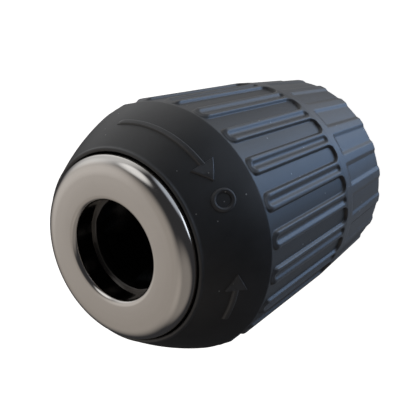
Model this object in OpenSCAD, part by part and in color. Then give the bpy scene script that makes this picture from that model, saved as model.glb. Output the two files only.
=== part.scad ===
// Keyless drill chuck: a single grip sleeve turns a split nut, and the nut's tapering thread slides three
// toothed jaws along inclined passages in the body. The axis is Z, the nose is up, and the chuck stands on
// its rear face. The jaws are drawn fully open.

/* [Overall] */
// Length from the rear face to the nose face
total_l = 57; // [57:0.5:58]
// Diameter of the rear hub
hub_d = 23; // [22:0.5:24]
// Height of the sleeve's rear edge above the rear face
sleeve_rear_z = 2.5; // [2:0.25:3.5]

/* [Nose ring] */
// Outside diameter of the nose ring
ring_d = 31; // [30.8:0.1:31]
// Hole in the nose ring's face
ring_hole_d = 16.6; // [16:0.1:17.4]
// Rounding of the ring's outer front edge
ring_round = 2.6; // [1.5:0.1:2.8]

/* [Grip sleeve] */
// Number of pockets round the grip
pocket_n = 22; // [20:1:24]
// Depth of a pocket below the lands
pocket_depth = 0.5; // [0.4:0.05:0.6]
// Width of a pocket
pocket_w = 3.1; // [2.8:0.1:3.3]
// Radius of the grip lands where they meet the nose cone
land_front_r = 22; // [21.8:0.1:22.5]
// Outward bulge of the nose cone at its middle
cone_bulge = 0.5; // [0.1:0.1:0.6]
// Radius of the plain band behind the pockets
band_r = 20; // [19.7:0.1:20.2]
// Radius of the raised strips at the rear edge
rear_r = 17.9; // [17.8:0.1:18.5]
// Width of the groove down the middle of a land
groove_w = 1.5; // [1:0.1:1.6]
// Depth of the groove down the middle of a land
groove_depth = 0.35; // [0.2:0.05:0.4]
// Depth of the wide strips in the rear section
strip_depth = 0.3; // [0.2:0.05:0.35]
// Width of the wide strips in the rear section
strip_w = 3.4; // [3:0.1:3.6]

/* [Jaws] */
// Diameter of a jaw
jaw_d = 7.2; // [7:0.1:7.3]
// Angle between a jaw and the chuck axis, in degrees
jaw_angle = 16; // [15.8:0.1:16.2]
// Shank diameter that the chuck takes when fully open
open_d = 13; // [13:0.1:13.2]
// Travel of a jaw along its own axis
jaw_travel = 20; // [18:0.5:20]
// Length of a jaw
jaw_l = 28; // [27:0.5:28.5]
// Thread pitch along a jaw
pitch = 1.6; // [1.5:0.05:1.7]

/* [Spindle socket] */
// Minor diameter of the 1/2-20 UNF thread
socket_d = 11.5; // [11.3:0.05:11.6]
// Depth of the socket below the rear face
socket_l = 16; // [15:0.2:16.4]

/* [Bearing] */
// Ball diameter
ball_d = 2; // [1.9:0.05:2]
// Number of balls
ball_n = 30; // [24:1:34]
// Number of locking teeth on the ratchet race
tooth_n = 36; // [24:1:45]

/* [Hidden] */
$fn = 96;
eps = 0.01;
fit_gap = 0.01;
far = 100;

black_plastic = [0.10, 0.10, 0.11];
satin_chrome = [0.74, 0.72, 0.69];
ground_steel = [0.55, 0.55, 0.56];
dark_steel = [0.25, 0.25, 0.26];
pale_plastic = [0.85, 0.83, 0.76];

// Body levels, from the rear face upwards
hub_top_z = 9;
tail_r = 13.6;
flange_z = 25;
flange_top_z = 29;
flange_r = 17.3;
neck_r = 10.7;
shoulder_z = 39.2;
front_r = 14;
nose_step_z = 49.2;
nose_r = 13;
nose_top_z = 52.45;
bore_r = 7.1;
bore_rim_r = 7.75;
web_top_z = 19;
screw_hole_r = 3.3;
passage_l = 60;

// Grooves and retaining parts at the rear of the body
snap_z = sleeve_rear_z + 0.2;
snap_top_z = sleeve_rear_z + 1.2;
snap_depth = 0.6;
snap_out = 1.6;
snap_gap = 4;
cover_web_z = 6.3;
cover_rim_z = 7.5;
cover_wall = 1;

// Sleeve outline. The pocket floor and the lands are parallel tapers, and the bulging nose cone runs into both.
lip_z = total_l - 2.8;
lip_r = 16.4;
land_front_z = total_l - 14.8;
pocket_end_z = total_l - 38.9;
pocket_corner = 0.8;
band_end_z = pocket_end_z - 2;
land_taper = atan((land_front_r - band_r) / (land_front_z - pocket_end_z));
rear_taper = atan((band_r - rear_r) / (pocket_end_z - sleeve_rear_z));
pocket_step = 360 / pocket_n;
pocket_phase = 2.4;
land_phase = pocket_phase + pocket_step / 2;
strip_phase = pocket_phase + 1.9;
sleeve_bore_r = front_r + 0.1;
rear_bore_r = 16.5;
rear_bore_top_z = 9.5;
hollow_low_r = 17.75;
hollow_low_z = 15;
hollow_mid_r = 18.2;
hollow_mid_z = 31;
ring_pocket_r = ring_d / 2 + 0.25;
insert_r = 18.6;
insert_z = 36;
insert_top_z = 43.4;

// Jaw layout. tip_r and tip_z place the centre of a jaw's tip when it is fully open.
jaw_r = jaw_d / 2;
jaw_phase = 30;
grip_r = open_d / 2;
grip_l = 11;
tip_z = 41.8;
tip_r = grip_r + jaw_r / cos(jaw_angle) - grip_l * tan(jaw_angle);
passage_r = jaw_r + 0.07;
jaw_limit_r = 17.4;
grip_flat = 0.6;
wedge_apex_r = grip_r - grip_flat * tan(30);
wedge_reach = 30;

// Nut and its thread. nut_edge_r is the outer edge of a jaw, level with the nut's middle.
nut_z = 33.4;
nut_top_z = 38.6;
nut_mid_z = (nut_z + nut_top_z) / 2;
nut_r = 15.2;
nut_edge_r = tip_r + (tip_z - nut_mid_z) * tan(jaw_angle) + jaw_r / cos(jaw_angle);
nut_bore_gap = 0.2;
nut_split = 0.15;
thread_depth = 0.7;
thread_gap = 0.16;
crest_w = 0.45;
root_w = 0.95;
first_tooth = -1;
last_tooth = 14;
tooth_end = jaw_travel;
band_top_z = 36.5;
band_out_r = 16.4;
dog_w = 4;
dog_z = 36.7;

// Bearing stack
ball_r = ball_d / 2;
ball_circle_r = 16.1;
ball_z = 31;
race_gap = 0.8;
groove_r = ball_r + 0.05;
cage_t = 0.8;
race_in_r = 14.95;
washer_in_r = 14;
race_out_r = 17.2;

// ---- helpers ----

// Places a child that is drawn along Z, from the tip backwards, on the axis of jaw i
module on_jaw_axis(i) {
    rotate([0, 0, jaw_phase + 120 * i])
        translate([tip_r, 0, tip_z])
            rotate([0, -jaw_angle, 0])
                children();
}

// A ring with a rectangular section
module ring(inner, outer, bottom, top) {
    translate([0, 0, bottom])
        difference() {
            cylinder(r = outer, h = top - bottom);
            translate([0, 0, -eps])
                cylinder(r = inner, h = top - bottom + 2 * eps);
        }
}

// Points of a quarter round in the r-z plane, from angle a to angle b about a centre
function arc_points(cr, cz, r, a, b, steps = 8) =
    [for (i = [0 : steps]) let(t = a + (b - a) * i / steps) [cr + r * cos(t), cz + r * sin(t)]];

// Radius of the lands at a height
function land_r(z) = land_front_r + (z - land_front_z) * tan(land_taper);

// Points up the nose cone, from the lands to the lip
function cone_points(steps = 8) =
    [for (i = [1 : steps - 1])
        let(t = i / steps)
        [land_front_r + (lip_r - land_front_r) * t + cone_bulge * 4 * t * (1 - t),
         land_front_z + (lip_z - land_front_z) * t]];

// Point in the r-z plane at a distance s down the line of the jaw's outer edge from the nut's middle,
// and n outwards from that line
function edge_point(s, n) =
    [nut_edge_r + s * sin(jaw_angle) + n * cos(jaw_angle),
     nut_mid_z - s * cos(jaw_angle) + n * sin(jaw_angle)];

// ---- body group ----

module body_turned() {
    rotate_extrude()
        polygon([
            [screw_hole_r, socket_l], [socket_d / 2, socket_l], [socket_d / 2, 0.7], [socket_d / 2 + 0.7, 0],
            [hub_d / 2 - 0.6, 0], [hub_d / 2, 0.6], [hub_d / 2, hub_top_z],
            [tail_r - 0.5, hub_top_z], [tail_r, hub_top_z + 0.5], [tail_r, flange_z],
            [flange_r - 0.4, flange_z], [flange_r, flange_z + 0.4],
            [flange_r, flange_top_z], [neck_r, flange_top_z], [neck_r, shoulder_z],
            [front_r - 0.4, shoulder_z], [front_r, shoulder_z + 0.4],
            [front_r, nose_step_z], [nose_r, nose_step_z], [nose_r, nose_top_z],
            [bore_rim_r, nose_top_z], [bore_r, nose_top_z - 0.9],
            [bore_r, web_top_z + 2], [screw_hole_r + 2, web_top_z], [screw_hole_r, web_top_z]
        ]);
}

module chuck_body() {
    color(ground_steel)
        difference() {
            body_turned();
            for (i = [0 : 2])
                on_jaw_axis(i)
                    cylinder(r = passage_r, h = passage_l, center = true);
            ring(hub_d / 2 - snap_depth, hub_d / 2 + 1, snap_z, snap_top_z);
        }
}

module nose_ring() {
    lip = 0.7;
    color(satin_chrome)
        rotate_extrude()
            polygon(concat(
                [[nose_r, nose_step_z + 0.5], [ring_d / 2 - 0.5, nose_step_z + 0.5],
                 [ring_d / 2, nose_step_z + 1]],
                arc_points(ring_d / 2 - ring_round, total_l - ring_round, ring_round, 0, 90, 12),
                arc_points(ring_hole_d / 2 + lip, total_l - lip, lip, 90, 180, 8),
                [[ring_hole_d / 2, nose_top_z], [nose_r, nose_top_z]]
            ));
}

module sleeve_washer() {
    color(pale_plastic)
        ring(nose_r + 0.1, ring_d / 2 - 0.2, nose_step_z + 0.06, nose_step_z + 0.44);
}

module ratchet_race() {
    tooth_h = 0.6;
    color(dark_steel)
        difference() {
            union() {
                ring(race_in_r, race_out_r - tooth_h, flange_top_z, ball_z - race_gap);
                intersection() {
                    ring(race_out_r - tooth_h - 0.2, race_out_r, flange_top_z, ball_z - race_gap);
                    for (i = [0 : tooth_n - 1])
                        rotate([0, 0, i * 360 / tooth_n])
                            translate([race_out_r - tooth_h - 0.3, 0, flange_top_z])
                                linear_extrude(ball_z - race_gap - flange_top_z)
                                    polygon([[0, 0], [tooth_h + 1, 0], [0, 2]]);
                }
            }
            rotate_extrude()
                translate([ball_circle_r, ball_z])
                    circle(r = groove_r);
        }
}

module rear_cover() {
    cover_r = rear_bore_r - 0.2;
    color(dark_steel)
        rotate_extrude()
            polygon([
                [hub_d / 2 + fit_gap, snap_top_z + fit_gap], [cover_r - 0.4, snap_top_z + fit_gap],
                [cover_r, snap_top_z + 0.4], [cover_r, cover_rim_z],
                [cover_r - cover_wall, cover_rim_z], [cover_r - cover_wall, cover_web_z],
                [tail_r - 0.8, cover_web_z], [tail_r - 0.8, hub_top_z - fit_gap],
                [hub_d / 2 + fit_gap, hub_top_z - fit_gap]
            ]);
}

module snap_ring() {
    color(dark_steel)
        difference() {
            ring(hub_d / 2 - snap_depth + fit_gap, hub_d / 2 + snap_out, snap_z + fit_gap, snap_top_z - fit_gap);
            rotate([0, 0, 90])
                translate([hub_d / 2, 0, snap_z])
                    cube([8, snap_gap, 4], center = true);
        }
}

// ---- sleeve group ----

module sleeve_turned() {
    lip_round = (lip_r - ring_pocket_r) / 2;
    rotate_extrude()
        polygon(concat(
            [[rear_bore_r, sleeve_rear_z], [rear_r - 0.5, sleeve_rear_z], [rear_r, sleeve_rear_z + 0.5],
             [band_r, pocket_end_z], [land_front_r, land_front_z]],
            cone_points(),
            arc_points(lip_r - lip_round, lip_z, lip_round, 0, 180, 8),
            [[ring_pocket_r, nose_step_z + 0.1], [ring_pocket_r - 0.2, nose_step_z],
             [sleeve_bore_r, nose_step_z], [sleeve_bore_r, insert_top_z + 1.6],
             [sleeve_bore_r + 2, insert_top_z], [insert_r, insert_top_z],
             [insert_r, insert_z], [hollow_mid_r, insert_z], [hollow_mid_r, hollow_mid_z],
             [hollow_low_r, hollow_low_z], [rear_bore_r, rear_bore_top_z]]
        ));
}

// One grip pocket: flat floor, round corners at its rear end, open to the nose cone
module pocket_cut() {
    run = (land_front_z - pocket_end_z) / cos(land_taper) + 6;
    translate([land_r(pocket_end_z) - pocket_depth, 0, pocket_end_z])
        rotate([0, land_taper, 0])
            rotate([0, 90, 0])
                linear_extrude(3)
                    union() {
                        translate([-run, -pocket_w / 2])
                            square([run - pocket_corner, pocket_w]);
                        translate([-pocket_corner - eps, -pocket_w / 2 + pocket_corner])
                            square([pocket_corner + eps, pocket_w - 2 * pocket_corner]);
                        for (y = [-1, 1])
                            translate([-pocket_corner, y * (pocket_w / 2 - pocket_corner)])
                                circle(r = pocket_corner, $fn = 32);
                    }
}

// The round-bottomed groove down the middle of a land, with round ends
module land_groove_cut() {
    r = (groove_w * groove_w / 4 + groove_depth * groove_depth) / (2 * groove_depth);
    rear_margin = 1;
    front_margin = 1.7;
    run = (land_front_z - pocket_end_z) / cos(land_taper) - rear_margin - front_margin;
    translate([land_r(pocket_end_z) + r - groove_depth, 0, pocket_end_z])
        rotate([0, land_taper, 0])
            translate([0, 0, rear_margin]) {
                cylinder(r = r, h = run, $fn = 48);
                for (z = [0, run])
                    translate([0, 0, z])
                        sphere(r = r, $fn = 48);
            }
}

// One wide, shallow strip of the rear section, open at the rear edge
module strip_cut() {
    run = (band_end_z - sleeve_rear_z) / cos(rear_taper);
    translate([rear_r - strip_depth, -strip_w / 2, sleeve_rear_z])
        rotate([0, rear_taper, 0])
            translate([0, 0, -1])
                cube([3, strip_w, run + 1]);
}

module grip_sleeve() {
    color(black_plastic)
        difference() {
            sleeve_turned();
            for (i = [0 : pocket_n - 1]) {
                rotate([0, 0, pocket_phase + i * pocket_step]) pocket_cut();
                rotate([0, 0, land_phase + i * pocket_step]) land_groove_cut();
                rotate([0, 0, strip_phase + i * pocket_step]) strip_cut();
            }
        }
}

module drive_insert() {
    color(dark_steel)
        union() {
            ring(band_out_r + 0.6, insert_r, insert_z, insert_top_z);
            for (a = [0, 180])
                rotate([0, 0, a + 90])
                    intersection() {
                        translate([nut_r - 1.4, -dog_w / 2 + 0.1, dog_z + 0.2])
                            cube([4, dog_w - 0.2, nut_top_z - dog_z - 0.2]);
                        cylinder(r = insert_r - 0.5, h = total_l);
                    }
        }
}

// The nut's round blank: a ring with a tapering bore that clears the jaws' teeth
module nut_blank() {
    low = edge_point((nut_mid_z - nut_z + eps) / cos(jaw_angle), 0);
    high = edge_point((nut_mid_z - nut_top_z - eps) / cos(jaw_angle), 0);
    gap = nut_bore_gap / cos(jaw_angle);
    difference() {
        ring(5, nut_r, nut_z, nut_top_z);
        rotate_extrude()
            polygon([[0, low[1]], [low[0] + gap, low[1]], [high[0] + gap, high[1]], [0, high[1]]]);
        for (a = [0, 180])
            rotate([0, 0, a + 90])
                translate([nut_r - 1.6, -dog_w / 2, dog_z])
                    cube([4, dog_w, 4]);
    }
}

// One half turn of the tapering thread ridge, swept from angle a0, with its middle at travel s0 there
module ridge_half_turn(a0, s0) {
    steps = 24;
    crest = crest_w / 2;
    root = root_w / 2;
    tip = -thread_depth + thread_gap;
    base = nut_bore_gap + 0.5;
    lift = (root - crest) / thread_depth;
    outline = [[-crest, tip], [crest, tip], [crest + lift * (base - tip), base],
               [-crest - lift * (base - tip), base]];
    trim = nut_split / nut_edge_r * 45;
    pts = [for (i = [0 : steps])
               let(a = a0 + trim + (180 - 2 * trim) * i / steps, s = s0 - pitch * (a - a0) / 360)
               for (q = outline)
                   let(p = edge_point(s + q[0], q[1]))
                   [p[0] * cos(a), p[0] * sin(a), p[1]]];
    sides = [for (i = [0 : steps - 1], j = [0 : 3])
                 [4 * i + j, 4 * i + (j + 1) % 4, 4 * i + 4 + (j + 1) % 4, 4 * i + 4 + j]];
    polyhedron(
        points = pts,
        faces = concat([[3, 2, 1, 0]], sides, [[4 * steps, 4 * steps + 1, 4 * steps + 2, 4 * steps + 3]])
    );
}

// A nut half covers the half turn that starts at angle a0
module nut_half(a0) {
    ridge_turns = 2;
    color(ground_steel)
        intersection() {
            union() {
                nut_blank();
                for (k = [-ridge_turns : ridge_turns])
                    ridge_half_turn(a0, pitch * (k - a0 / 360));
            }
            ring(nut_edge_r - 3, nut_r, nut_z, nut_top_z);
            rotate([0, 0, a0])
                translate([-far, nut_split / 2, 0])
                    cube([2 * far, far, far]);
        }
}

module nut_half_a() {
    nut_half(0);
}

module nut_half_b() {
    nut_half(180);
}

module nut_band() {
    color(dark_steel)
        ring(nut_r + fit_gap, band_out_r, nut_z + fit_gap, band_top_z);
}

// Spring strip round the bearing, on two tabs from the nut band, with a pawl bent in near the locking teeth
module pawl_spring() {
    strip_in = 17.45;
    strip_out = 17.7;
    half_span = 70;
    tab_w = 3;
    tab_t = 0.6;
    color(dark_steel)
        union() {
            intersection() {
                ring(strip_in, strip_out, flange_top_z + 0.3, nut_z + 1.6);
                linear_extrude(total_l)
                    polygon([[0, 0], for (a = [-half_span : 35 : half_span]) [far * cos(a), far * sin(a)]]);
            }
            for (a = [-50, 50])
                rotate([0, 0, a])
                    translate([band_out_r + fit_gap, -tab_w / 2, nut_z + 1])
                        cube([strip_in - band_out_r + 0.1, tab_w, tab_t]);
        }
}

module nut_washer() {
    color(ground_steel)
        difference() {
            ring(washer_in_r, race_out_r, ball_z + race_gap, nut_z);
            rotate_extrude()
                translate([ball_circle_r, ball_z])
                    circle(r = groove_r);
        }
}

// ---- bearing group ----

module ball_cage() {
    color(pale_plastic)
        difference() {
            ring(race_in_r + 0.1, race_out_r, ball_z - cage_t / 2, ball_z + cage_t / 2);
            for (i = [0 : ball_n - 1])
                rotate([0, 0, i * 360 / ball_n])
                    translate([ball_circle_r, 0, ball_z - 1])
                        cylinder(r = ball_r + 0.06, h = 2);
        }
}

module bearing_balls() {
    color(satin_chrome)
        for (i = [0 : ball_n - 1])
            rotate([0, 0, i * 360 / ball_n])
                translate([ball_circle_r, 0, ball_z])
                    sphere(r = ball_r, $fn = 24);
}

// ---- jaws ----

// Wedge that three jaws share: flats at 60 degrees to each side of the grip edge
module grip_wedge() {
    run = wedge_reach / 2;
    side = run * tan(60);
    linear_extrude(total_l)
        polygon([
            [grip_r, -grip_flat], [wedge_apex_r + run, -side], [wedge_reach, -side],
            [wedge_reach, side], [wedge_apex_r + run, side], [grip_r, grip_flat]
        ]);
}

// The groove that the nut's ridge fills, drawn as it stands when that tooth is at the nut's middle
module tooth_cut(shift) {
    crest = crest_w / 2 + thread_gap;
    lift = (root_w - crest_w) / 2 / thread_depth;
    outer = 1.2;
    wide = crest + lift * (thread_depth + outer);
    translate([shift * sin(jaw_angle), 0, -shift * cos(jaw_angle)])
        rotate_extrude()
            polygon([edge_point(-crest, -thread_depth), edge_point(crest, -thread_depth),
                     edge_point(wide, outer), edge_point(-wide, outer)]);
}

module jaw(i) {
    shifts = [for (k = [first_tooth : last_tooth]) pitch * (k - (jaw_phase + 120 * i) / 360)];
    color(ground_steel)
        difference() {
            intersection() {
                on_jaw_axis(i)
                    translate([0, 0, -jaw_l])
                        cylinder(r = jaw_r, h = jaw_l + 3);
                rotate([0, 0, jaw_phase + 120 * i])
                    translate([0, 0, tip_z - total_l])
                        grip_wedge();
                cylinder(r = jaw_limit_r, h = total_l);
            }
            rotate([0, 0, jaw_phase + 120 * i])
                for (shift = shifts)
                    if (shift < tooth_end) tooth_cut(shift);
        }
}

module jaw_1() {
    jaw(0);
}

module jaw_2() {
    jaw(1);
}

module jaw_3() {
    jaw(2);
}

chuck_body();
nose_ring();
sleeve_washer();
grip_sleeve();
drive_insert();
nut_half_a();
nut_half_b();
nut_band();
pawl_spring();
nut_washer();
ball_cage();
bearing_balls();
ratchet_race();
jaw_1();
jaw_2();
jaw_3();
rear_cover();
snap_ring();
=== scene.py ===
import math

import bmesh
import bpy
import numpy as np
from mathutils import Matrix, Vector


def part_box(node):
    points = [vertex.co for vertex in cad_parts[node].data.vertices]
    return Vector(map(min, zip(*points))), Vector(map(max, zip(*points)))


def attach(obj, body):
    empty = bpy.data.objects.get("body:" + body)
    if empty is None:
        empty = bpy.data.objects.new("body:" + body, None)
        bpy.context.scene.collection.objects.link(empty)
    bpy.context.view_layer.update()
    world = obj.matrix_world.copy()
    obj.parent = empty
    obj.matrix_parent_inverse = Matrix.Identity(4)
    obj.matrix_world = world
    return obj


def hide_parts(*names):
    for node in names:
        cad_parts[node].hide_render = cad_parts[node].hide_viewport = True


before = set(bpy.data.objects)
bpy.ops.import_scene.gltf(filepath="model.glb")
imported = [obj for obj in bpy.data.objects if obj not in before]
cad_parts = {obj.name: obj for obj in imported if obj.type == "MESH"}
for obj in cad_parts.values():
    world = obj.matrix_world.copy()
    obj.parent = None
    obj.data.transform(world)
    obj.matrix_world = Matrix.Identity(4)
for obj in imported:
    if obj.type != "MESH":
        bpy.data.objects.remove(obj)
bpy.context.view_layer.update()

MM = 0.001


# ---------------------------------------------------------------- driving sizes, in millimetres

def box_mm(node):
    low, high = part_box(node)
    return [v / MM for v in low], [v / MM for v in high]


RING_LOW, RING_HIGH = box_mm("nose_ring")
SLEEVE_LOW = box_mm("grip_sleeve")[0]
BODY_HIGH = box_mm("chuck_body")[1]

TOTAL_L = RING_HIGH[2]
RING_R = RING_HIGH[0]
RING_BACK = RING_LOW[2]
RING_HOLE_R = 8.3
RING_ROUND = (3.0, 2.4)   # across and along

BODY_TOP = BODY_HIGH[2]
HUB_R = 11.5
HUB_TOP = 9.0
TAIL_R = 13.6
FLANGE_Z = 25.0
FLANGE_TOP = 29.0
FLANGE_R = BODY_HIGH[0]
NECK_R = 10.7
SHOULDER_Z = 39.2
FRONT_R = 14.0
NOSE_STEP = 49.2
NOSE_R = 13.0
BORE_R = 7.1
BORE_RIM_R = 7.75
WEB_Z = 16.0
WEB_TOP = 19.0
SCREW_HOLE_R = 3.3
THREAD_MINOR_R = 5.75
THREAD_MAJOR_R = 6.35
THREAD_PITCH = 1.27

SLEEVE_REAR = SLEEVE_LOW[2]
SNAP_GROOVE_Z = (SLEEVE_REAR + 0.2, SLEEVE_REAR + 1.2)
SNAP_DEPTH = 0.6
LIP_Z = TOTAL_L - 2.8
LIP_R = 16.4
LIP_INNER_R = RING_R + 0.22
LAND_FRONT_Z = TOTAL_L - 14.8
POCKET_END_Z = TOTAL_L - 38.9
BAND_END_Z = POCKET_END_Z - 2.0
LAND_FRONT_R = 22.0
CONE_BULGE = 0.5
POCKET_DEPTH = 0.5
BAND_R = 20.0
REAR_R = 17.9
REAR_BORE_R = 16.5
POCKETS = 22
POCKET_STEP = 360.0 / POCKETS
POCKET_PHASE = 2.4
STRIP_PHASE = POCKET_PHASE + 3.0
POCKET_HALF = 4.15
POCKET_CORNER = 1.2
WALL_WIDTH = 0.5
RIB_FRONT_Z = LAND_FRONT_Z + 0.95
RIB_FADE_L = 1.7
RIB_FRONT_SHARE = 0.2
CONE_EDGE_BLEND = 0.05
GROOVE_HALF = 2.35
GROOVE_DEPTH = 0.38
GROOVE_FRONT_Z = LAND_FRONT_Z - 0.55
GROOVE_REAR_Z = POCKET_END_Z + 1.0
STRIP_HALF = 5.2
STRIP_DEPTH = 0.3
STRIP_SIDE = 2.8
STRIP_START_L = 0.9
LAND_SLOPE = (LAND_FRONT_R - BAND_R) / (LAND_FRONT_Z - POCKET_END_Z)

JAW_ANGLE = math.radians(16.0)
JAW_TIP = (7.0909, 41.8)
JAW_PHASE = 30.0
PASSAGE_R = 3.67


# ---------------------------------------------------------------- mesh helpers

def link_mesh(name, verts, faces, sharp_deg=32.0):
    """A mesh object from points in millimetres, shaded smooth but for its sharp edges."""
    mesh = bpy.data.meshes.new(name)
    mesh.from_pydata((np.asarray(verts, float) * MM).tolist(), [], faces)
    mesh.validate()
    mesh.shade_smooth()
    mesh.set_sharp_from_angle(angle=math.radians(sharp_deg))
    obj = bpy.data.objects.new(name, mesh)
    bpy.context.scene.collection.objects.link(obj)
    return obj


def rounded(corners):
    """Points of a closed outline in the r-z plane from (r, z, rounding) corners, rounded with arcs."""
    out = []
    count = len(corners)
    for i, (r, z, fillet) in enumerate(corners):
        here = np.array([r, z], float)
        if fillet <= 0:
            out.append(here)
            continue
        before = np.array(corners[i - 1][:2], float) - here
        after = np.array(corners[(i + 1) % count][:2], float) - here
        a = before / np.linalg.norm(before)
        b = after / np.linalg.norm(after)
        half = math.acos(max(-1.0, min(1.0, float(a @ b)))) / 2
        reach = fillet / math.tan(half)
        middle = (a + b) / np.linalg.norm(a + b)
        centre = here + middle * fillet / math.sin(half)
        start = here + a * reach - centre
        end = here + b * reach - centre
        turn = math.atan2(start[0] * end[1] - start[1] * end[0], float(start @ end))
        steps = max(3, int(abs(turn) / math.radians(9)))
        for k in range(steps + 1):
            t = turn * k / steps
            c, s = math.cos(t), math.sin(t)
            out.append(centre + np.array([start[0] * c - start[1] * s, start[0] * s + start[1] * c]))
    return out


def grid_faces(rows, columns, close_rows=True):
    """Quads of a grid that wraps round its columns and, if asked, from its last row to its first."""
    faces = []
    for i in range(rows if close_rows else rows - 1):
        j0 = i * columns
        j1 = ((i + 1) % rows) * columns
        for k in range(columns):
            n = (k + 1) % columns
            faces.append((j0 + k, j0 + n, j1 + n, j1 + k))
    return faces


def lathe(name, corners, columns=192, sharp_deg=32.0):
    """A closed ring turned from a rounded outline, given anticlockwise in the r-z plane."""
    outline = rounded(corners)
    angles = np.linspace(0.0, 2 * math.pi, columns, endpoint=False)
    verts = []
    for r, z in outline:
        for a in angles:
            verts.append((r * math.cos(a), r * math.sin(a), z))
    return link_mesh(name, verts, grid_faces(len(outline), columns), sharp_deg)


def smooth01(x):
    x = np.clip(x, 0.0, 1.0)
    return x * x * (3.0 - 2.0 * x)


def soft_min(a, b, k):
    """The lower of two surfaces, blended over a width k where they cross."""
    h = np.clip(k - np.abs(a - b), 0.0, None) / k
    return np.minimum(a, b) - h * h * k * 0.25


def paint(obj, name, values):
    """Stores one number per vertex, for a material to read."""
    layer = obj.data.attributes.new(name, "FLOAT", "POINT")
    layer.data.foreach_set("value", np.asarray(values, np.float32))


# ---------------------------------------------------------------- camera

VIEW_DIRECTION = Vector((-0.641, -0.208, -0.739)).normalized()
VIEW_UP = Vector((-0.001, 0.963, -0.270))
VIEW_DISTANCE = 164 * MM
NOSE_LEVEL = 54.6 * MM
NOSE_OFFSET = (-14.2 * MM, -6.0 * MM)
LENS = 87.7


def make_camera():
    """A portrait lens looking down on the nose, with the chuck's rear running up to the right."""
    right = VIEW_DIRECTION.cross(VIEW_UP).normalized()
    up = right.cross(VIEW_DIRECTION).normalized()
    nose = Vector((0.0, 0.0, NOSE_LEVEL))
    place = nose - right * NOSE_OFFSET[0] - up * NOSE_OFFSET[1] - VIEW_DIRECTION * VIEW_DISTANCE
    data = bpy.data.cameras.new("camera")
    data.lens = LENS
    data.sensor_width = 36.0
    data.clip_start = 0.005
    data.clip_end = 50.0
    camera = bpy.data.objects.new("camera", data)
    turn = Matrix((right, up, -VIEW_DIRECTION)).transposed().to_4x4()
    camera.matrix_world = Matrix.Translation(place) @ turn
    bpy.context.scene.collection.objects.link(camera)
    bpy.context.scene.camera = camera


# ---------------------------------------------------------------- studio

def view_vector(right, up, ahead):
    """A direction given in the viewer's own terms, as a unit vector in the chuck's frame."""
    side = VIEW_DIRECTION.cross(VIEW_UP).normalized()
    over = side.cross(VIEW_DIRECTION).normalized()
    return (side * right + over * up + VIEW_DIRECTION * ahead).normalized()


# Tints of the light, and the soft boxes of the studio: the direction in which the viewer would see each one
# (right, up, ahead), the half angles in degrees at which it is full and gone, its tint and its strength.
DAYLIGHT = (0.6, 1.0, 1.7)
COOL_WHITE = (0.9, 1.0, 1.15)
WHITE = (1.0, 1.0, 1.0)
WARM_WHITE = (1.1, 1.0, 0.9)
SOFT_BOXES = [
    ((0.8, 0.5, 0.3), 5.0, 18.0, DAYLIGHT, 1.2),
    ((0.9, 0.3, 0.3), 5.0, 18.0, DAYLIGHT, 1.5),
    ((0.9, 0.3, -0.25), 6.0, 17.0, COOL_WHITE, 1.5),
    ((0.7, 0.7, 0.35), 8.0, 26.0, COOL_WHITE, 1.4),
    ((0.1, 0.7, 0.7), 14.0, 42.0, WHITE, 0.3),
    ((-0.4, 0.85, 0.35), 18.0, 50.0, WHITE, 0.6),
    ((0.8, -0.2, 0.55), 10.0, 35.0, COOL_WHITE, 0.3),
    ((0.6, 0.75, -0.3), 12.0, 32.0, COOL_WHITE, 0.5),
    ((-0.5, 0.7, -0.5), 6.0, 24.0, WHITE, 0.9),
    ((0.05, -0.85, -0.5), 20.0, 48.0, WARM_WHITE, 0.2),
    ((-0.95, 0.2, 0.1), 12.0, 42.0, WHITE, 0.25),
    ((-0.9, -0.3, -0.05), 24.0, 64.0, WARM_WHITE, 0.3),
]
ROOM_LIGHT = (0.035, 0.035, 0.038)


def make_world():
    """The studio: a dim room with soft boxes, the largest a cool window to the right."""
    world = bpy.data.worlds.new("studio")
    bpy.context.scene.world = world
    world.use_nodes = True
    nodes, links = world.node_tree.nodes, world.node_tree.links
    nodes.clear()
    coords = nodes.new("ShaderNodeTexCoord")
    total = nodes.new("ShaderNodeRGB")
    total.outputs[0].default_value = (*ROOM_LIGHT, 1.0)
    light = total.outputs[0]
    for direction, full, gone, tint, strength in SOFT_BOXES:
        facing = nodes.new("ShaderNodeVectorMath")
        facing.operation = "DOT_PRODUCT"
        facing.inputs[1].default_value = view_vector(*direction)
        links.new(coords.outputs["Generated"], facing.inputs[0])
        fade = nodes.new("ShaderNodeMapRange")
        fade.interpolation_type = "SMOOTHSTEP"
        fade.inputs["From Min"].default_value = math.cos(math.radians(gone))
        fade.inputs["From Max"].default_value = math.cos(math.radians(full))
        links.new(facing.outputs["Value"], fade.inputs["Value"])
        glow = nodes.new("ShaderNodeVectorMath")
        glow.operation = "SCALE"
        glow.inputs[0].default_value = [strength * c for c in tint]
        links.new(fade.outputs["Result"], glow.inputs["Scale"])
        add = nodes.new("ShaderNodeVectorMath")
        add.operation = "ADD"
        links.new(light, add.inputs[0])
        links.new(glow.outputs[0], add.inputs[1])
        light = add.outputs[0]
    back = nodes.new("ShaderNodeBackground")
    out = nodes.new("ShaderNodeOutputWorld")
    links.new(light, back.inputs["Color"])
    links.new(back.outputs[0], out.inputs["Surface"])


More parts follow.
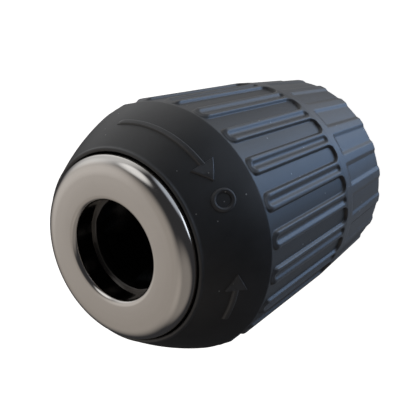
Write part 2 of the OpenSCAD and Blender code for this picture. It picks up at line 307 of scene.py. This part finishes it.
def make_floor():
    """A pale, evenly lit table top. It keeps its own glare off the chuck, as a cloth-covered one would."""
    half = 1.5 / MM
    floor = link_mesh("floor", [(-half, -half, 0), (half, -half, 0), (half, half, 0), (-half, half, 0)],
                      [(0, 1, 2, 3)])
    material, nodes, links, shader = new_material("floor_white")
    noise = nodes.new("ShaderNodeTexNoise")
    noise.inputs["Scale"].default_value = 90.0
    tint = ramp_node(nodes, [(0.3, (0.86, 0.86, 0.86)), (0.7, (0.9, 0.9, 0.9))])
    links.new(noise.outputs["Fac"], tint.inputs[0])
    links.new(tint.outputs[0], shader.inputs["Base Color"])
    shader.inputs["Roughness"].default_value = 0.9
    shader.inputs["Emission Color"].default_value = (1.0, 1.0, 1.0, 1.0)
    shader.inputs["Emission Strength"].default_value = 0.96
    floor.data.materials.append(material)
    floor.visible_glossy = False
    floor.visible_diffuse = False
    floor.visible_shadow = False


# ---------------------------------------------------------------- materials

def new_material(name):
    material = bpy.data.materials.new(name)
    material.use_nodes = True
    nodes, links = material.node_tree.nodes, material.node_tree.links
    return material, nodes, links, nodes["Principled BSDF"]


def ramp_node(nodes, stops):
    ramp = nodes.new("ShaderNodeValToRGB")
    elements = ramp.color_ramp.elements
    while len(elements) < len(stops):
        elements.new(0.5)
    for element, (place, colour) in zip(elements, stops):
        element.position = place
        element.color = (*colour, 1.0)
    return ramp


def mix_node(nodes, links, low, high, factor):
    """A value between two numbers, by a factor socket."""
    node = nodes.new("ShaderNodeMapRange")
    node.inputs["To Min"].default_value = low
    node.inputs["To Max"].default_value = high
    links.new(factor, node.inputs["Value"])
    return node.outputs["Result"]


def new_group(name, inputs, outputs):
    """A shader node group with float inputs (name, default) and float outputs, given by name."""
    group = bpy.data.node_groups.new(name, "ShaderNodeTree")
    for label, default in inputs:
        socket = group.interface.new_socket(label, in_out="INPUT", socket_type="NodeSocketFloat")
        socket.default_value = default
    for label in outputs:
        group.interface.new_socket(label, in_out="OUTPUT", socket_type="NodeSocketFloat")
    entry = group.nodes.new("NodeGroupInput")
    leave = group.nodes.new("NodeGroupOutput")
    return group, group.nodes, group.links, entry, leave


def math_node(nodes, links, operation, a, b=None):
    node = nodes.new("ShaderNodeMath")
    node.operation = operation
    for socket, value in zip(node.inputs, (a, b)):
        if value is None:
            continue
        if isinstance(value, (int, float)):
            socket.default_value = value
        else:
            links.new(value, socket)
    return node.outputs[0]


def make_grain_group():
    """Fine cloudy grain over an object: Height for bump and Patch for slow changes of gloss."""
    group, nodes, links, entry, leave = new_group(
        "fine_grain", [("Scale", 3000.0), ("Patch Scale", 120.0)], ["Height", "Patch"])
    coords = nodes.new("ShaderNodeTexCoord")
    fine = nodes.new("ShaderNodeTexNoise")
    fine.inputs["Detail"].default_value = 3.0
    slow = nodes.new("ShaderNodeTexNoise")
    slow.inputs["Detail"].default_value = 4.0
    slow.inputs["Roughness"].default_value = 0.6
    for node, scale in ((fine, "Scale"), (slow, "Patch Scale")):
        links.new(coords.outputs["Object"], node.inputs["Vector"])
        links.new(entry.outputs[scale], node.inputs["Scale"])
    links.new(fine.outputs["Fac"], leave.inputs["Height"])
    links.new(slow.outputs["Fac"], leave.inputs["Patch"])
    return group


def make_turning_group():
    """Fine rings left by a lathe tool or a polishing wheel, as a height and a streaky mask."""
    group, nodes, links, entry, leave = new_group(
        "turning_marks", [("Rings", 9000.0), ("Streak", 2500.0)], ["Height", "Mask"])
    coords = nodes.new("ShaderNodeTexCoord")
    split = nodes.new("ShaderNodeSeparateXYZ")
    links.new(coords.outputs["Object"], split.inputs[0])
    x, y, z = split.outputs[0], split.outputs[1], split.outputs[2]
    radius = math_node(nodes, links, "SQRT", math_node(
        nodes, links, "ADD", math_node(nodes, links, "MULTIPLY", x, x),
        math_node(nodes, links, "MULTIPLY", y, y)))
    angle = math_node(nodes, links, "ARCTAN2", y, x)
    swept = nodes.new("ShaderNodeCombineXYZ")
    links.new(math_node(nodes, links, "ADD", radius, z), swept.inputs[0])
    links.new(math_node(nodes, links, "MULTIPLY", angle, 0.0004), swept.inputs[1])
    links.new(math_node(nodes, links, "SUBTRACT", radius, z), swept.inputs[2])
    rings = nodes.new("ShaderNodeTexNoise")
    streak = nodes.new("ShaderNodeTexNoise")
    for node, label in ((rings, "Rings"), (streak, "Streak")):
        node.inputs["Detail"].default_value = 2.0
        links.new(swept.outputs[0], node.inputs["Vector"])
        links.new(entry.outputs[label], node.inputs["Scale"])
    links.new(rings.outputs["Fac"], leave.inputs["Height"])
    links.new(streak.outputs["Fac"], leave.inputs["Mask"])
    return group


def make_speck_group():
    """Sparse specks of dust and tiny moulding flaws, as a mask."""
    group, nodes, links, entry, leave = new_group(
        "specks", [("Scale", 700.0), ("Size", 0.09), ("Share", 0.12)], ["Mask"])
    coords = nodes.new("ShaderNodeTexCoord")
    cells = nodes.new("ShaderNodeTexVoronoi")
    cells.inputs["Randomness"].default_value = 1.0
    links.new(coords.outputs["Object"], cells.inputs["Vector"])
    links.new(entry.outputs["Scale"], cells.inputs["Scale"])
    near = math_node(nodes, links, "LESS_THAN", cells.outputs["Distance"], entry.outputs["Size"])
    split = nodes.new("ShaderNodeSeparateColor")
    links.new(cells.outputs["Color"], split.inputs[0])
    chosen = math_node(nodes, links, "LESS_THAN", split.outputs[0], entry.outputs["Share"])
    links.new(math_node(nodes, links, "MULTIPLY", near, chosen), leave.inputs["Mask"])
    return group


GRAIN = make_grain_group()
TURNING = make_turning_group()
SPECKS = make_speck_group()


def place_group(nodes, group, **values):
    node = nodes.new("ShaderNodeGroup")
    node.node_tree = group
    for label, value in values.items():
        node.inputs[label.replace("_", " ")].default_value = value
    return node


def colour_mix(nodes, links, factor, low, high):
    """A colour between two colours or sockets, by a factor socket."""
    node = nodes.new("ShaderNodeMix")
    node.data_type = "RGBA"
    links.new(factor, node.inputs["Factor"])
    for socket, value in ((node.inputs["A"], low), (node.inputs["B"], high)):
        if isinstance(value, tuple):
            socket.default_value = (*value, 1.0)
        else:
            links.new(value, socket)
    return node.outputs["Result"]


def bump(nodes, links, shader, height, strength, distance):
    node = nodes.new("ShaderNodeBump")
    node.inputs["Strength"].default_value = strength
    node.inputs["Distance"].default_value = distance
    links.new(height, node.inputs["Height"])
    links.new(node.outputs[0], shader.inputs["Normal"])


def black_moulding():
    """Satin black plastic: fine spark texture, burnished high edges, a little dust in the corners."""
    material, nodes, links, shader = new_material("black_moulding")
    grain = place_group(nodes, GRAIN, Scale=5200.0, Patch_Scale=160.0)
    specks = place_group(nodes, SPECKS, Scale=560.0, Size=0.075, Share=0.3)
    edge = nodes.new("ShaderNodeAttribute")
    edge.attribute_name = "edge"
    corner = nodes.new("ShaderNodeAttribute")
    corner.attribute_name = "corner"
    tone = ramp_node(nodes, [(0.35, (0.016, 0.0165, 0.018)), (0.68, (0.026, 0.0268, 0.029))])
    links.new(grain.outputs["Patch"], tone.inputs[0])
    worn = math_node(nodes, links, "MULTIPLY", edge.outputs["Fac"], grain.outputs["Patch"])
    colour = colour_mix(nodes, links, worn, tone.outputs[0], (0.11, 0.112, 0.118))
    dusty = math_node(nodes, links, "MULTIPLY", corner.outputs["Fac"], 0.35)
    colour = colour_mix(nodes, links, dusty, colour, (0.05, 0.05, 0.052))
    colour = colour_mix(nodes, links, specks.outputs["Mask"], colour, (0.24, 0.24, 0.235))
    links.new(colour, shader.inputs["Base Color"])
    rough = mix_node(nodes, links, 0.4, 0.5, grain.outputs["Patch"])
    rough = math_node(nodes, links, "SUBTRACT", rough,
                      math_node(nodes, links, "MULTIPLY", edge.outputs["Fac"], 0.06))
    links.new(rough, shader.inputs["Roughness"])
    shader.inputs["Specular IOR Level"].default_value = 0.62
    bump(nodes, links, shader, grain.outputs["Height"], 0.22, 0.00003)
    return material


def turned_metal(name, dark, light, rough, ring_bump, rings=9000.0, metallic=1.0, soil=0.12):
    """Bare or plated metal with fine lathe rings, streaks and patches of handling."""
    material, nodes, links, shader = new_material(name)
    marks = place_group(nodes, TURNING, Rings=rings, Streak=2600.0)
    grain = place_group(nodes, GRAIN, Scale=4000.0, Patch_Scale=220.0)
    tone = ramp_node(nodes, [(0.35, dark), (0.65, light)])
    links.new(marks.outputs["Mask"], tone.inputs[0])
    smudge = ramp_node(nodes, [(0.45, (0.0, 0.0, 0.0)), (0.75, (1.0, 1.0, 1.0))])
    links.new(grain.outputs["Patch"], smudge.inputs[0])
    soiled = math_node(nodes, links, "MULTIPLY", smudge.outputs[0], soil)
    colour = colour_mix(nodes, links, soiled, tone.outputs[0], tuple(0.55 * c for c in dark))
    links.new(colour, shader.inputs["Base Color"])
    shader.inputs["Metallic"].default_value = metallic
    gloss = mix_node(nodes, links, rough[0], rough[1], grain.outputs["Patch"])
    links.new(gloss, shader.inputs["Roughness"])
    bump(nodes, links, shader, marks.outputs["Height"], ring_bump, 0.00002)
    return material


def nylon():
    """Natural glide plastic, slightly yellow and cloudy."""
    material, nodes, links, shader = new_material("natural_nylon")
    grain = place_group(nodes, GRAIN, Scale=2600.0, Patch_Scale=180.0)
    tone = ramp_node(nodes, [(0.3, (0.72, 0.68, 0.57)), (0.7, (0.83, 0.8, 0.71))])
    links.new(grain.outputs["Patch"], tone.inputs[0])
    links.new(tone.outputs[0], shader.inputs["Base Color"])
    links.new(mix_node(nodes, links, 0.4, 0.55, grain.outputs["Patch"]), shader.inputs["Roughness"])
    bump(nodes, links, shader, grain.outputs["Height"], 0.15, 0.00003)
    return material


# ---------------------------------------------------------------- grip sleeve

def column_angles():
    """Angles round the sleeve in degrees, close together at the edges of pockets, grooves and strips."""
    marks = np.linspace(-3.2, 3.2, 6).tolist()
    for side in (-1, 1):
        marks += [side * (POCKET_HALF + d) for d in np.linspace(-0.85, 0.75, 11)]
    half = POCKET_STEP / 2
    marks += [half + d * GROOVE_HALF for d in np.linspace(-1.15, 1.15, 17)]
    shift = STRIP_PHASE - POCKET_PHASE
    for side in (-1, 1):
        marks += [shift + side * (STRIP_HALF + d) for d in np.linspace(-1.5, 1.5, 11)]
    marks = sorted(m % POCKET_STEP for m in marks)
    kept = [marks[0]]
    for m in marks[1:]:
        if m - kept[-1] > 0.11:
            kept.append(m)
    return np.array([POCKET_PHASE + i * POCKET_STEP + m for i in range(POCKETS) for m in kept])


def row_heights():
    """Heights of the rows of the outside, from the nose lip to the rear edge."""
    spans = [(LIP_Z - 0.3, RIB_FRONT_Z + 1.0, 14), (RIB_FRONT_Z + 0.8, LAND_FRONT_Z - 1.6, 26),
             (LAND_FRONT_Z - 2.6, POCKET_END_Z + 2.2, 10), (POCKET_END_Z + 1.9, POCKET_END_Z - 0.3, 18),
             (POCKET_END_Z - 0.7, BAND_END_Z + 0.7, 3), (BAND_END_Z + 0.5, BAND_END_Z - 0.9, 9),
             (BAND_END_Z - 1.4, SLEEVE_REAR + 0.6, 6)]
    heights = []
    for top, bottom, count in spans:
        heights += np.linspace(top, bottom, count).tolist()
    return heights


def folded_offset(angles, phase):
    """Signed angle from the nearest feature of a pattern that repeats with the pockets."""
    return (angles - phase + POCKET_STEP / 2) % POCKET_STEP - POCKET_STEP / 2


def land_height(z):
    return BAND_R + LAND_SLOPE * (z - POCKET_END_Z)


def cone_height(z):
    t = (z - LAND_FRONT_Z) / (LIP_Z - LAND_FRONT_Z)
    bulge = t * (1 - t) if t > 0 else t
    return LAND_FRONT_R + (LIP_R - LAND_FRONT_R) * t + CONE_BULGE * 4 * bulge


def rear_height(z):
    return BAND_R + (REAR_R - BAND_R) * (POCKET_END_Z - z) / (POCKET_END_Z - SLEEVE_REAR)


def box_distance(x, y, corner):
    """Distance outside a rectangle with round corners, from the distances outside its two pairs of sides."""
    qx, qy = x + corner, y + corner
    outside = np.hypot(np.maximum(qx, 0), np.maximum(qy, 0))
    return outside + np.minimum(np.maximum(qx, qy), 0) - corner


def pocket_distance(angles, z):
    """Distance in millimetres from the wall of the nearest pocket: positive on the ribs and the band.
    Pockets have round corners at the rear, and the ribs between them have round corners at the front."""
    base = land_height(z) * math.pi / 180
    across = (np.abs(folded_offset(angles, POCKET_PHASE)) - POCKET_HALF) * base
    rear_end = np.full_like(across, POCKET_END_Z - z)
    into_pocket = box_distance(across, rear_end, POCKET_CORNER)
    front_end = np.full_like(across, z - RIB_FRONT_Z)
    into_rib = -box_distance(-across, front_end, POCKET_CORNER)
    return into_pocket if z < LAND_FRONT_Z - 4 else into_rib


def groove_dip(angles, z):
    """Depth of the round-bottomed groove down each rib, 0 to 1."""
    off = folded_offset(angles, POCKET_PHASE + POCKET_STEP / 2)
    across = np.abs(off) * math.pi / 180 * land_height(z)
    along = max(z - GROOVE_FRONT_Z, GROOVE_REAR_Z - z, 0.0)
    half = GROOVE_HALF * math.pi / 180 * LAND_FRONT_R
    d = np.clip(np.hypot(across, along) / half, 0.0, 1.0)
    return 0.5 + 0.5 * np.cos(math.pi * d ** 1.15)


def strip_dip(angles, z):
    """Depth of the wide strips of the rear section, 0 to 1."""
    off = np.abs(folded_offset(angles, STRIP_PHASE))
    side = smooth01((STRIP_HALF - off) / STRIP_SIDE + 0.5)
    start = smooth01((BAND_END_Z - z) / STRIP_START_L)
    return side * start


def sleeve_radius(angles, z):
    """Outside radius of the sleeve at one height, with masks of its rubbed faces and its corners."""
    if z > POCKET_END_Z - 0.5:
        distance = pocket_distance(angles, z)
        raised = smooth01(distance / WALL_WIDTH + 0.42)
        grooved = groove_dip(angles, z)
        floor = np.full_like(angles, land_height(z) - POCKET_DEPTH)
        cone = np.full_like(angles, cone_height(z))
        fade = smooth01((RIB_FRONT_Z + 0.1 - z) / RIB_FADE_L)
        rib = (POCKET_DEPTH - GROOVE_DEPTH * grooved) * raised
        rib = rib * (RIB_FRONT_SHARE + (1 - RIB_FRONT_SHARE) * fade)
        radius = soft_min(cone, floor, CONE_EDGE_BLEND) + rib
        edge = 0.5 * raised + 0.5 * np.exp(-((distance - 0.22) / 0.15) ** 2)
        corner = np.exp(-((distance + 0.18) / 0.16) ** 2)
        return radius, edge, corner * (z < RIB_FRONT_Z + 0.2)
    dip = strip_dip(angles, z)
    radius = rear_height(z) - STRIP_DEPTH * dip
    edge = 0.75 + 0.25 * np.exp(-((dip - 0.12) / 0.15) ** 2)
    return radius, edge, 0.6 * np.exp(-((dip - 0.9) / 0.12) ** 2)


def arc_rows(centre_r, centre_z, radius, start, end, steps):
    for i in range(steps + 1):
        t = math.radians(start + (end - start) * i / steps)
        yield centre_r + radius * math.cos(t), centre_z + radius * math.sin(t)


SLEEVE_INSIDE = [
    (REAR_BORE_R, SLEEVE_REAR, 0), (REAR_BORE_R, 9.5, 0), (17.75, 15.0, 0), (18.2, 31.0, 0),
    (18.2, 36.0, 0), (18.6, 36.0, 0), (18.6, 43.4, 0.2), (16.1, 43.4, 0), (14.1, 45.0, 0.3),
    (14.1, NOSE_STEP, 0.2), (LIP_INNER_R, NOSE_STEP, 0.2), (LIP_INNER_R, LIP_Z, 0)]


def make_sleeve(material):
    """The moulded sleeve: nose cone, pocketed grip, band and stepped rear section, and its hollow inside."""
    angles = column_angles()
    cos, sin = np.cos(np.radians(angles)), np.sin(np.radians(angles))
    rows, edges, corners = [], [], []

    def add_row(radius, z, edge=0.0, corner=0.0):
        r = np.broadcast_to(radius, angles.shape)
        rows.append(np.stack([r * cos, r * sin, np.full_like(angles, z)], 1))
        edges.append(np.broadcast_to(edge, angles.shape))
        corners.append(np.broadcast_to(corner, angles.shape))

    lip_round = (LIP_R - LIP_INNER_R) / 2
    for r, z in arc_rows(LIP_R - lip_round, LIP_Z, lip_round, 180, 0, 12):
        add_row(r, z, 0.5)
    for z in row_heights():
        radius, edge, corner = sleeve_radius(angles, z)
        add_row(radius, z, edge, corner)
    rear_round = 0.45
    last = sleeve_radius(angles, SLEEVE_REAR + rear_round)[0]
    for i in range(1, 6):
        t = math.radians(18 * i)
        add_row(last - rear_round * (1 - math.cos(t)), SLEEVE_REAR + rear_round * (1 - math.sin(t)), 0.5)
    for r, z in rounded(SLEEVE_INSIDE):
        add_row(r, z)
    count = len(angles)
    faces = [tuple(reversed(f)) for f in grid_faces(len(rows), count)]
    sleeve = link_mesh("grip_sleeve_moulding", np.concatenate(rows), faces, 38.0)
    paint(sleeve, "edge", np.concatenate(edges))
    paint(sleeve, "corner", np.concatenate(corners))
    sleeve.data.materials.append(material)
    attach(sleeve, "sleeve")
    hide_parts("grip_sleeve")


# ---------------------------------------------------------------- turning arrows on the nose cone

MARK_Z = 49.2
MARK_HALF = 0.42
MARK_HEIGHT = 0.34
MARK_EDGE = 0.2
MARK_SECTION = [(0.0, -0.5), (0.0, 0.3), (0.45, 0.85), (1.0, 1.0)]


def raised_strip(stations):
    """A low raised strip on the nose cone through stations of (angle, lower z, upper z, share of height)."""
    verts = []
    for angle, low, high, share in stations:
        inset = min(MARK_EDGE, (high - low) * 0.45)
        section = [(low + inset * u, h) for u, h in MARK_SECTION]
        section += [(high - inset * u, h) for u, h in reversed(MARK_SECTION)]
        for z, h in section:
            r = cone_height(z) + MARK_HEIGHT * (h * share if h > 0 else h)
            a = math.radians(angle)
            verts.append((r * math.cos(a), r * math.sin(a), z))
    width = 2 * len(MARK_SECTION)
    faces = []
    for i in range(len(stations) - 1):
        for k in range(width):
            n = (k + 1) % width
            faces.append((i * width + k, i * width + n, (i + 1) * width + n, (i + 1) * width + k))
    last = (len(stations) - 1) * width
    faces.append(tuple(reversed(range(width))))
    faces.append(tuple(last + k for k in range(width)))
    return verts, faces


def arrow_strips(tail, tip, middle_z, half_width, head_half, head_span):
    """The shaft and the head of one arrow that curves round the cone from tail to tip, in degrees."""
    way = 1 if tip > tail else -1
    neck = tip - way * head_span
    shaft = []
    for t in np.linspace(0.0, 1.0, 40):
        angle = tail + (neck + way * 0.4 - tail) * t
        shaft.append((angle, middle_z - half_width, middle_z + half_width, min(1.0, 0.3 + 14 * t)))
    head = [(neck - way * 0.25, middle_z - head_half + 0.15, middle_z + head_half - 0.15, 0.3)]
    for t in np.linspace(0.0, 1.0, 24):
        half = head_half * (1 - t) + 0.08
        head.append((neck + way * head_span * t, middle_z - half, middle_z + half, 1.0))
    head.append((tip + way * 0.3, middle_z - 0.04, middle_z + 0.04, 0.2))
    return [sorted_stations(shaft), sorted_stations(head)]


def sorted_stations(stations):
    return sorted(stations, key=lambda station: station[0])


def ring_mark(centre, middle_z, radius, width):
    """A small raised circle on the cone, as a closed loop."""
    half = width / 2
    section = [(-half, -0.5), (-half, 0.35), (-half + MARK_EDGE, 0.85), (0.0, 1.0),
               (half - MARK_EDGE, 0.85), (half, 0.35), (half, -0.5)]
    columns = 48
    verts = []
    for i in range(columns):
        turn = 2 * math.pi * i / columns
        for offset, h in section:
            z = middle_z + (radius + offset) * math.sin(turn)
            a = math.radians(centre) + (radius + offset) * math.cos(turn) / cone_height(middle_z)
            r = cone_height(z) + MARK_HEIGHT * h
            verts.append((r * math.cos(a), r * math.sin(a), z))
    width_count = len(section)
    faces = []
    for i in range(columns):
        here, after = i * width_count, (i + 1) % columns * width_count
        for k in range(width_count):
            n = (k + 1) % width_count
            faces.append((here + k, here + n, after + n, after + k))
    return verts, faces


def make_arrows(material):
    """Moulded turning arrows: a long one with a small circle for closing, a shorter one back for opening."""
    strips = arrow_strips(92.0, 29.0, MARK_Z, MARK_HALF, 1.9, 9.0)
    strips += arrow_strips(-43.0, -17.0, MARK_Z, MARK_HALF, 1.7, 8.0)
    marks = [raised_strip(stations) for stations in strips] + [ring_mark(19.0, MARK_Z, 1.5, 0.75)]
    verts, faces = [], []
    for points, sides in marks:
        faces += [tuple(len(verts) + k for k in f) for f in sides]
        verts += points
    arrows = link_mesh("turning_arrows", verts, faces, 22.0)
    mesh = bmesh.new()
    mesh.from_mesh(arrows.data)
    bmesh.ops.recalc_face_normals(mesh, faces=mesh.faces)
    mesh.to_mesh(arrows.data)
    mesh.free()
    rims = []
    for x, y, z in verts:
        height = (math.hypot(x, y) - cone_height(z)) / MARK_HEIGHT
        rims.append(math.exp(-((height - 0.8) / 0.25) ** 2))
    paint(arrows, "edge", np.array(rims))
    arrows.data.materials.append(material)
    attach(arrows, "sleeve")


# ---------------------------------------------------------------- nose ring

def make_nose_ring():
    """The plated nose ring: flat face, large outer rounding, small rolled lip at its hole."""
    width, depth = RING_ROUND
    shoulder = [(RING_R - width + width * math.cos(t), TOTAL_L - depth + depth * math.sin(t), 0)
                for t in np.linspace(0.0, math.pi / 2, 19)]
    ring = lathe("nose_ring_plated", [
        (NOSE_R, RING_BACK, 0.1), (RING_R, RING_BACK, 0.4), *shoulder,
        (RING_HOLE_R, TOTAL_L, 1.0), (RING_HOLE_R, BODY_TOP, 0), (NOSE_R, BODY_TOP, 0)], 256, 40.0)
    ring.data.materials.append(turned_metal(
        "polished_nickel", (0.69, 0.665, 0.635), (0.7, 0.675, 0.645), (0.1, 0.14), 0.002, 12000.0,
        soil=0.05))
    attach(ring, "chuck")
    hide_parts("nose_ring")


# ---------------------------------------------------------------- chuck body

def threaded_bore(columns):
    """Rows of the spindle thread from its inner end to the rear face, as a true helix."""
    per_turn = 12
    step = THREAD_PITCH / per_turn
    angles = np.linspace(0.0, 2 * math.pi, columns, endpoint=False)
    rows = []
    z = WEB_Z - 0.6
    while z > 0.75:
        turn = (z / THREAD_PITCH + angles / (2 * math.pi)) % 1.0
        ridge = np.clip(np.abs(turn * 2 - 1) * 1.35 - 0.17, 0.0, 1.0)
        fade = min(1.0, (WEB_Z - 0.6 - z) / 0.8)
        rows.append((THREAD_MINOR_R + (THREAD_MAJOR_R - THREAD_MINOR_R) * ridge * fade, z))
        z -= step
    return rows


def make_body():
    """The turned steel body with its spindle thread and three slanting jaw passages."""
    columns = 144
    angles = np.linspace(0.0, 2 * math.pi, columns, endpoint=False)
    outline = rounded([
        (THREAD_MAJOR_R + 0.15, 0.0, 0.0), (HUB_R, 0.0, 0.5), (HUB_R, SNAP_GROOVE_Z[0], 0.0),
        (HUB_R - SNAP_DEPTH, SNAP_GROOVE_Z[0], 0.0), (HUB_R - SNAP_DEPTH, SNAP_GROOVE_Z[1], 0.0),
        (HUB_R, SNAP_GROOVE_Z[1], 0.0), (HUB_R, HUB_TOP, 0.0), (TAIL_R, HUB_TOP, 0.5),
        (TAIL_R, FLANGE_Z, 0.0), (FLANGE_R, FLANGE_Z, 0.4), (FLANGE_R, FLANGE_TOP, 0.1),
        (NECK_R, FLANGE_TOP, 0.0), (NECK_R, SHOULDER_Z, 0.0), (FRONT_R, SHOULDER_Z, 0.4),
        (FRONT_R, NOSE_STEP, 0.1), (NOSE_R, NOSE_STEP, 0.0), (NOSE_R, BODY_TOP, 0.0),
        (BORE_RIM_R, BODY_TOP, 0.22), (BORE_RIM_R - 0.1, BODY_TOP - 3.0, 0.3),
        (BORE_R, BODY_TOP - 10.0, 0.0), (BORE_R, WEB_TOP + 2, 0.3),
        (SCREW_HOLE_R + 2, WEB_TOP, 0.0), (SCREW_HOLE_R, WEB_TOP, 0.0), (SCREW_HOLE_R, WEB_Z, 0.0),
        (THREAD_MINOR_R, WEB_Z, 0.0)])
    rows = [(np.full(columns, r), z) for r, z in outline] + threaded_bore(columns)
    verts = np.concatenate([np.stack([r * np.cos(angles), r * np.sin(angles), np.full(columns, z)], 1)
                            for r, z in rows])
    body = link_mesh("chuck_body_steel", verts, grid_faces(len(rows), columns), 30.0)
    cut_passages(body)
    body.data.materials.append(turned_metal(
        "dark_body_steel", (0.07, 0.068, 0.066), (0.14, 0.137, 0.133), (0.28, 0.4), 0.14))
    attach(body, "chuck")
    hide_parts("chuck_body")


def cut_passages(body):
    """Cuts the three jaw passages out of the body."""
    cutters = bmesh.new()
    for i in range(3):
        turn = Matrix.Rotation(math.radians(JAW_PHASE + 120 * i), 4, "Z")
        slant = Matrix.Rotation(-JAW_ANGLE, 4, "Y")
        place = turn @ Matrix.Translation((JAW_TIP[0] * MM, 0, JAW_TIP[1] * MM)) @ slant
        bmesh.ops.create_cone(cutters, cap_ends=True, segments=64, radius1=PASSAGE_R * MM,
                              radius2=PASSAGE_R * MM, depth=60 * MM, matrix=place)
    mesh = bpy.data.meshes.new("passages")
    cutters.to_mesh(mesh)
    cutters.free()
    tool = bpy.data.objects.new("passages", mesh)
    bpy.context.scene.collection.objects.link(tool)
    modifier = body.modifiers.new("passages", "BOOLEAN")
    modifier.operation = "DIFFERENCE"
    modifier.solver = "EXACT"
    modifier.use_self = True
    modifier.object = tool
    bpy.context.view_layer.update()
    evaluated = body.evaluated_get(bpy.context.evaluated_depsgraph_get())
    cut = bpy.data.meshes.new_from_object(evaluated)
    body.modifiers.clear()
    body.data = cut
    body.data.shade_smooth()
    body.data.set_sharp_from_angle(angle=math.radians(30))
    bpy.data.objects.remove(tool)


# ---------------------------------------------------------------- rear cover and snap ring

def make_rear_cover(material):
    cover = lathe("rear_cover_pressed", [
        (HUB_R, SNAP_GROOVE_Z[1], 0.1), (REAR_BORE_R - 0.2, SNAP_GROOVE_Z[1], 0.7),
        (REAR_BORE_R - 0.2, 7.5, 0.2),
        (REAR_BORE_R - 1.2, 7.5, 0.2), (REAR_BORE_R - 1.2, 6.3, 0.4), (TAIL_R - 0.8, 6.3, 0.4),
        (TAIL_R - 0.8, HUB_TOP, 0.15), (HUB_R, HUB_TOP, 0.0)], 192)
    cover.data.materials.append(material)
    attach(cover, "chuck")
    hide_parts("rear_cover")


# ---------------------------------------------------------------- materials on the carried-over nodes

def dress(node, material):
    """Gives a carried-over node its material."""
    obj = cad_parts[node]
    obj.data.materials.clear()
    obj.data.materials.append(material)


def dress_nodes(oxide):
    nut = turned_metal("oiled_nut_steel", (0.28, 0.275, 0.265), (0.4, 0.395, 0.385), (0.28, 0.42), 0.16)
    race = turned_metal("polished_race_steel", (0.52, 0.52, 0.53), (0.62, 0.62, 0.63), (0.12, 0.2), 0.05)
    jaw = turned_metal("ground_jaw_steel", (0.3, 0.3, 0.305), (0.42, 0.42, 0.425), (0.24, 0.36), 0.1)
    plastic = nylon()
    chosen = {
        "sleeve_washer": plastic, "ball_cage": plastic, "drive_insert": oxide, "nut_half_a": nut,
        "nut_half_b": nut, "nut_band": oxide, "pawl_spring": oxide, "nut_washer": race,
        "bearing_balls": race, "ratchet_race": race, "jaw_1": jaw, "jaw_2": jaw, "jaw_3": jaw,
        "snap_ring": oxide}
    for node, material in chosen.items():
        dress(node, material)


# ---------------------------------------------------------------- build

make_camera()
make_world()
make_floor()
BLACK_OXIDE = turned_metal("black_oxide", (0.028, 0.028, 0.031), (0.05, 0.05, 0.054), (0.3, 0.45), 0.12,
                           metallic=0.6)
MOULDING = black_moulding()
make_sleeve(MOULDING)
make_arrows(MOULDING)
make_nose_ring()
make_body()
make_rear_cover(BLACK_OXIDE)
dress_nodes(BLACK_OXIDE)

bpy.context.scene.view_settings.view_transform = "Standard"
